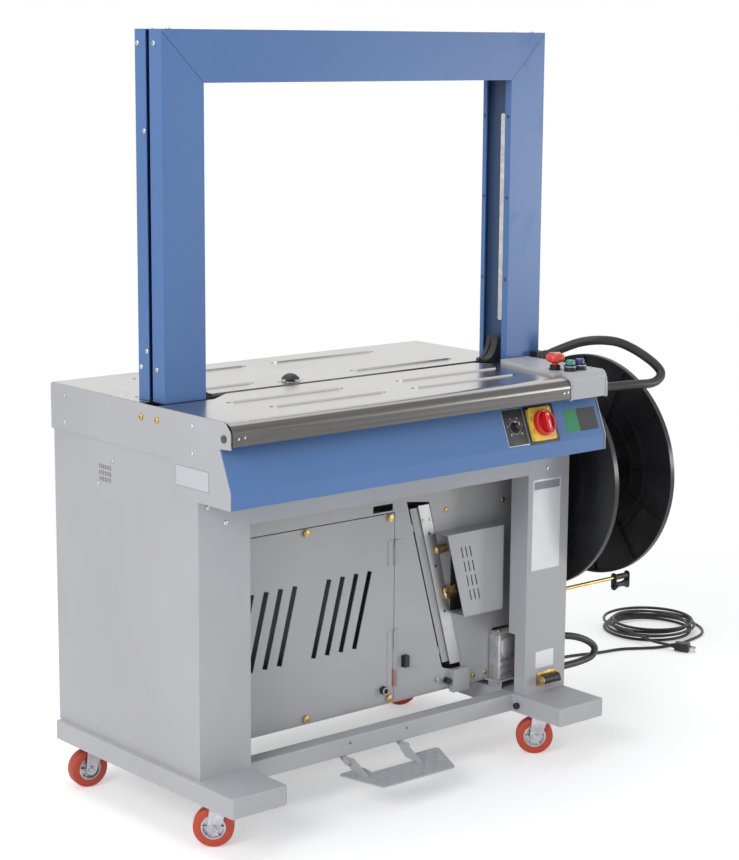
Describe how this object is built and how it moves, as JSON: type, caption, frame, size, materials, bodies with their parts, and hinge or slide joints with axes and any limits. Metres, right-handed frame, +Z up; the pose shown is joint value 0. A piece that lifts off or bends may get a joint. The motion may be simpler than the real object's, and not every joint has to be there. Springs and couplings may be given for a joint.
{
  "type": "strapping machine",
  "caption": "Mobile arch strapping machine: stainless folding table, blue arch, strap reel, strap pool with door, foot pedal, control buttons and castors.",
  "frame": {"origin": "middle of the machine's footprint, on the floor, the mains lead left out", "axes": "+Z up, +X to the right along the front towards the strap reel, +Y from the operator to the back"},
  "size_m": [1.9704, 0.7612, 1.5446],
  "materials": {
    "light_grey_paint": "satin powder coat",
    "blue_paint": "textured powder coat",
    "stainless": "brushed",
    "zinc": "zinc plated",
    "aluminium": "machined",
    "brass": "yellow passivated",
    "black_plastic": "fine grain",
    "dark_metal": "dark",
    "red_plastic": "gloss",
    "yellow_plastic": "gloss",
    "green_plastic": "gloss",
    "blue_plastic": "gloss",
    "red_tyre": "polyurethane",
    "black_rubber": "cord jacket"
  },
  "bodies": {
    "frame": {"left_foot": "light_grey_paint", "right_foot": "light_grey_paint", "cross_bars": "light_grey_paint", "left_side_panel": "light_grey_paint", "right_side_panel": "light_grey_paint", "upper_plates": "light_grey_paint", "blue_fascia": "blue_paint", "fascia_plates": "dark_metal", "switch_base": "yellow_plastic", "fascia_rail": "light_grey_paint", "rear_panel": "light_grey_paint", "base_tray": "light_grey_paint", "centre_panel": "light_grey_paint", "strap_pool": "zinc", "feed_rail": "stainless", "feeder_cover": "light_grey_paint", "feed_unit": "dark_metal", "power_unit": "aluminium", "sealing_head": "dark_metal", "drive_motor": "dark_metal", "arch_front_cover": "blue_paint", "arch_rear_cover": "blue_paint", "arch_track": "zinc", "rear_table": "stainless", "control_box": "light_grey_paint", "button_collars": "black_plastic", "reel_bracket": "zinc", "conduits": "black_plastic", "black_fittings": "black_plastic", "pale_screws": "zinc", "brass_hardware": "brass", "cord_coil": "black_rubber", "mains_cord": "black_rubber", "mains_plug": "black_plastic"},
    "castor_front_left": {"castor_fork_front_left": "zinc"},
    "wheel_front_left": {"castor_wheel_front_left": "red_tyre"},
    "castor_front_right": {"castor_fork_front_right": "zinc"},
    "wheel_front_right": {"castor_wheel_front_right": "red_tyre"},
    "castor_rear_left": {"castor_fork_rear_left": "zinc"},
    "wheel_rear_left": {"castor_wheel_rear_left": "red_tyre"},
    "castor_rear_right": {"castor_fork_rear_right": "zinc"},
    "wheel_rear_right": {"castor_wheel_rear_right": "red_tyre"},
    "front_table": {"front_table": "stainless"},
    "pool_door": {"pool_door": "light_grey_paint"},
    "pedal": {"pedal": "light_grey_paint"},
    "reel": {"reel_inner_flange": "black_plastic", "reel_outer_flange": "black_plastic", "reel_core": "zinc"},
    "guide_arm": {"guide_arm": "brass"},
    "guide_roller": {"guide_roller": "black_plastic"},
    "estop_button": {"estop_button": "red_plastic"},
    "start_button": {"start_button": "green_plastic"},
    "feed_button": {"feed_button": "blue_plastic"},
    "switch_knob": {"switch_knob": "red_plastic"},
    "dial_knob": {"dial_knob": "black_plastic"},
    "ball_switch": {"ball_switch": "black_plastic"},
    "cam_shaft": {"cam_shaft": "zinc"},
    "feed_roller": {"feed_roller": "black_rubber"},
    "pinch_roller": {"pinch_roller": "black_rubber"},
    "leg_roller": {"leg_roller": "black_plastic"}
  },
  "joints": [
    {"name": "swivel_front_left", "type": "hinge", "parent": "frame", "child": "castor_front_left", "pos_m": [-0.5548, -0.2022, 0.1237], "axis": [0, 0, 1], "continuous": true},
    {"name": "roll_front_left", "type": "hinge", "parent": "castor_front_left", "child": "wheel_front_left", "pos_m": [-0.57387, -0.18603, 0.04], "axis": [-0.6468, -0.7627, 0], "continuous": true},
    {"name": "swivel_front_right", "type": "hinge", "parent": "frame", "child": "castor_front_right", "pos_m": [0.3062, -0.2022, 0.1237], "axis": [0, 0, 1], "continuous": true},
    {"name": "roll_front_right", "type": "hinge", "parent": "castor_front_right", "child": "wheel_front_right", "pos_m": [0.28713, -0.18603, 0.04], "axis": [-0.6468, -0.7627, 0], "continuous": true},
    {"name": "swivel_rear_left", "type": "hinge", "parent": "frame", "child": "castor_rear_left", "pos_m": [-0.5548, 0.2448, 0.1237], "axis": [0, 0, 1], "continuous": true},
    {"name": "roll_rear_left", "type": "hinge", "parent": "castor_rear_left", "child": "wheel_rear_left", "pos_m": [-0.57953, 0.24845, 0.04], "axis": [-0.1461, -0.9893, 0], "continuous": true},
    {"name": "swivel_rear_right", "type": "hinge", "parent": "frame", "child": "castor_rear_right", "pos_m": [0.3062, 0.2448, 0.1237], "axis": [0, 0, 1], "continuous": true},
    {"name": "roll_rear_right", "type": "hinge", "parent": "castor_rear_right", "child": "wheel_rear_right", "pos_m": [0.28455, 0.2573, 0.04], "axis": [-0.5, -0.866, 0], "continuous": true},
    {"name": "table_lift", "type": "hinge", "parent": "frame", "child": "front_table", "pos_m": [-0.6073, -0.2752, 0.811], "axis": [1, 0, 0], "range_deg": [0, 80]},
    {"name": "door_swing", "type": "hinge", "parent": "frame", "child": "pool_door", "pos_m": [-0.03105, -0.0864, 0.35], "axis": [0, 0, 1], "range_deg": [0, 100]},
    {"name": "pedal_press", "type": "hinge", "parent": "frame", "child": "pedal", "pos_m": [-0.1523, -0.1742, 0.089], "axis": [1, 0, 0], "range_deg": [0, 10], "stiffness_Nm_per_rad": 4, "springref_deg": -17.19},
    {"name": "reel_spin", "type": "hinge", "parent": "frame", "child": "reel", "pos_m": [0.5077, -0.0372, 0.58], "axis": [1, 0, 0], "continuous": true},
    {"name": "guide_arm_swing", "type": "hinge", "parent": "frame", "child": "guide_arm", "pos_m": [0.3897, 0.0208, 0.4], "axis": [1, 0, 0], "range_deg": [0, 12], "stiffness_Nm_per_rad": 3, "springref_deg": -28.65},
    {"name": "guide_roller_spin", "type": "hinge", "parent": "guide_arm", "child": "guide_roller", "pos_m": [0.5762, -0.1592, 0.325], "axis": [1, 0, 0], "continuous": true},
    {"name": "estop_press", "type": "slide", "parent": "frame", "child": "estop_button", "axis": [0, 0, -1], "range_m": [0, 0.005]},
    {"name": "start_press", "type": "slide", "parent": "frame", "child": "start_button", "axis": [0, 0, -1], "range_m": [0, 0.003], "stiffness_N_per_m": 800, "springref_m": -0.002},
    {"name": "feed_press", "type": "slide", "parent": "frame", "child": "feed_button", "axis": [0, 0, -1], "range_m": [0, 0.003], "stiffness_N_per_m": 800, "springref_m": -0.002},
    {"name": "ball_press", "type": "slide", "parent": "frame", "child": "ball_switch", "axis": [0, 0, -1], "range_m": [0, 0.004], "stiffness_N_per_m": 800, "springref_m": -0.003},
    {"name": "switch_turn", "type": "hinge", "parent": "frame", "child": "switch_knob", "pos_m": [0.1917, -0.27634, 0.74914], "axis": [0, -0.9268, 0.3754], "range_deg": [0, 90]},
    {"name": "dial_turn", "type": "hinge", "parent": "frame", "child": "dial_knob", "pos_m": [0.1227, -0.27597, 0.75007], "axis": [0, -0.9268, 0.3754], "range_deg": [-135, 135]},
    {"name": "cam_shaft_spin", "type": "hinge", "parent": "frame", "child": "cam_shaft", "pos_m": [-0.0883, -0.0092, 0.75], "axis": [1, 0, 0], "continuous": true},
    {"name": "feed_roller_spin", "type": "hinge", "parent": "frame", "child": "feed_roller", "pos_m": [0.1497, -0.0982, 0.42], "axis": [0, 1, 0], "continuous": true},
    {"name": "pinch_roller_spin", "type": "hinge", "parent": "frame", "child": "pinch_roller", "pos_m": [0.1805, -0.0982, 0.42], "axis": [0, 1, 0], "continuous": true},
    {"name": "leg_roller_spin", "type": "hinge", "parent": "frame", "child": "leg_roller", "pos_m": [0.3137, -0.2032, 0.165], "axis": [1, 0, 0], "continuous": true}
  ],
  "couplings": [
    {"joint": "pinch_roller_spin", "follows": "feed_roller_spin", "ratio": -1}
  ]
}
